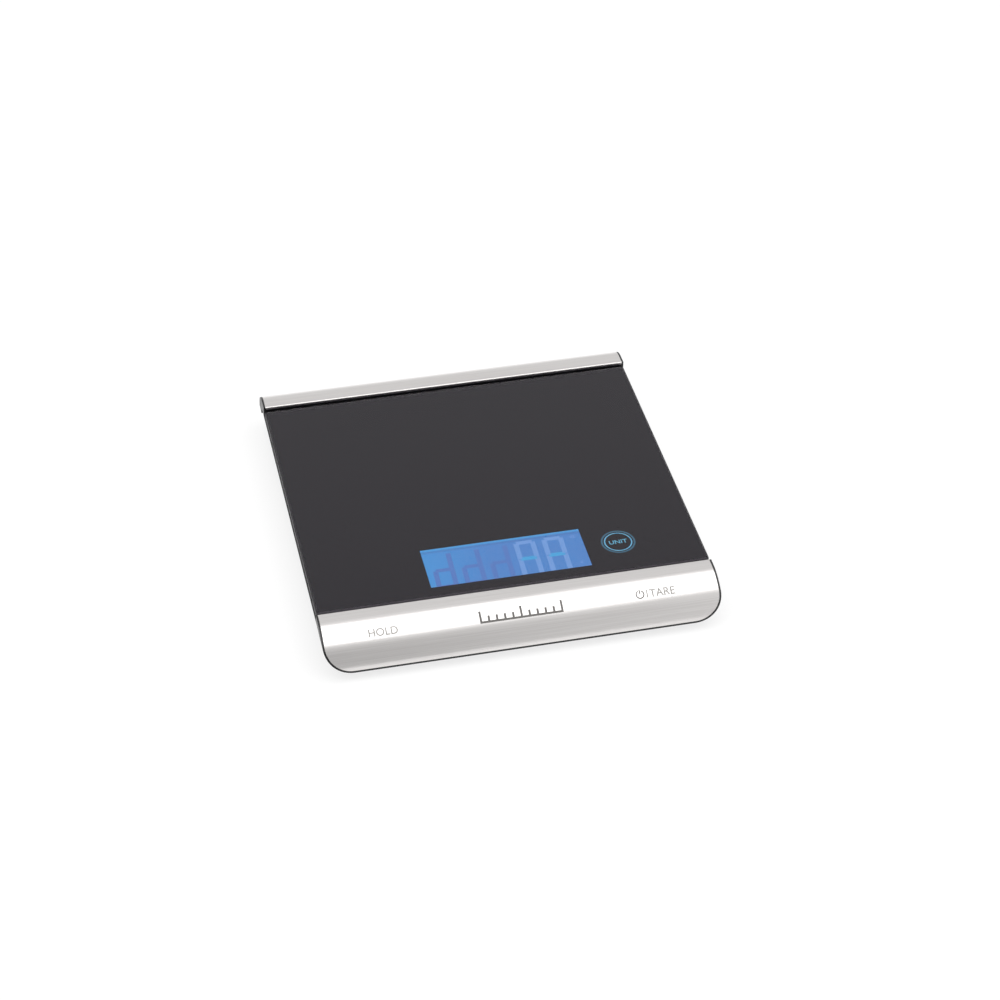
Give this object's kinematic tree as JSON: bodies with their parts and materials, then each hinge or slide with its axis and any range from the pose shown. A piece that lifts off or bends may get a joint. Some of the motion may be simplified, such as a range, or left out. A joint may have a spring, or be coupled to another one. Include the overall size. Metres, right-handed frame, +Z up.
{
  "type": "kitchen scale",
  "caption": "Slim kitchen scale with a black glass platform, curved brushed steel trims front and back, a blue backlit display, a round touch key, hidden keys and four load-cell feet.",
  "frame": {"origin": "on the table under the middle of the body's outline", "axes": "+X to the right, +Y to the back, away from the display, +Z up"},
  "size_m": [0.201, 0.2164, 0.0238],
  "materials": {
    "clear_glass": "clear tempered float glass, polished edges",
    "black_ink": "black screen print behind the glass",
    "foam_tape": "double-sided tape",
    "brushed_steel": "brushed along its length",
    "black_abs": "moulded black ABS, satin",
    "black_abs_matt": "moulded black ABS, fine texture",
    "cell_jacket": "plain printed jacket",
    "contact_metal": "nickel plated",
    "lcd_blue": "blue backlit display",
    "milky_acrylic": "milky acrylic",
    "white_abs": "moulded white ABS",
    "silicone": "silicone rubber",
    "led_blue": "blue light-emitting diode",
    "circuit_board": "glass-fibre board with green solder mask",
    "chip_epoxy": "black moulded epoxy",
    "ring_acrylic": "lit acrylic light guide",
    "screw_steel": "zinc plated steel",
    "lead_sheath": "PVC lead sheath",
    "label_paper": "plain silver label, blank",
    "foot_pom": "moulded black POM",
    "foot_rubber": "soft rubber",
    "cell_steel": "stamped spring steel"
  },
  "bodies": {
    "scale_body": {"back_trim": "brushed_steel", "backlight_leds": "led_blue", "battery_cell_left": "cell_jacket", "battery_cell_right": "cell_jacket", "battery_leads": "lead_sheath", "battery_link": "contact_metal", "battery_minus_contact": "contact_metal", "battery_plus_contact": "contact_metal", "board_components": "chip_epoxy", "board_screws": "screw_steel", "controller_chip": "chip_epoxy", "converter_chip": "chip_epoxy", "foot_back_left": "foot_pom", "foot_back_right": "foot_pom", "foot_front_left": "foot_pom", "foot_front_right": "foot_pom", "foot_pad_back_left": "foot_rubber", "foot_pad_back_right": "foot_rubber", "foot_pad_front_left": "foot_rubber", "foot_pad_front_right": "foot_rubber", "front_trim": "brushed_steel", "glass_adhesive": "foam_tape", "glass_platform": "clear_glass", "glass_print": "black_ink", "hold_key_board": "circuit_board", "hold_key_switch": "chip_epoxy", "housing_screws": "screw_steel", "key_leads": "lead_sheath", "key_screws": "screw_steel", "lcd_bezel": "white_abs", "lcd_diffuser": "milky_acrylic", "lcd_panel": "lcd_blue", "load_cell_back_left": "cell_steel", "load_cell_back_right": "cell_steel", "load_cell_front_left": "cell_steel", "load_cell_front_right": "cell_steel", "load_cell_leads": "lead_sheath", "load_cell_retainer_back_left": "white_abs", "load_cell_retainer_back_right": "white_abs", "load_cell_retainer_front_left": "white_abs", "load_cell_retainer_front_right": "white_abs", "lower_housing": "black_abs_matt", "main_board": "circuit_board", "rating_label": "label_paper", "retainer_screws": "screw_steel", "strain_gauges": "silicone", "tare_key_board": "circuit_board", "tare_key_switch": "chip_epoxy", "trim_tapes": "foam_tape", "unit_board": "circuit_board", "unit_led": "led_blue", "unit_light_guide": "ring_acrylic", "unit_touch_spring": "contact_metal", "upper_frame": "black_abs", "zebra_strip": "silicone"},
    "battery_door": {"battery_door": "black_abs_matt"},
    "hold_key": {"hold_key_pad": "silicone", "hold_key_button": "chip_epoxy"},
    "tare_key": {"tare_key_pad": "silicone", "tare_key_button": "chip_epoxy"}
  },
  "joints": [
    {"name": "battery_door_hinge", "type": "hinge", "parent": "scale_body", "child": "battery_door", "pos_m": [0, 0.05594, 0.00325], "axis": [1, 0, 0], "range_deg": [0, 80]},
    {"name": "hold_key_press", "type": "slide", "parent": "scale_body", "child": "hold_key", "axis": [0, 0.5044, -0.8635], "range_m": [0, 0.0003], "stiffness_N_per_m": 5000},
    {"name": "tare_key_press", "type": "slide", "parent": "scale_body", "child": "tare_key", "axis": [0, 0.5044, -0.8635], "range_m": [0, 0.0003], "stiffness_N_per_m": 5000}
  ]
}
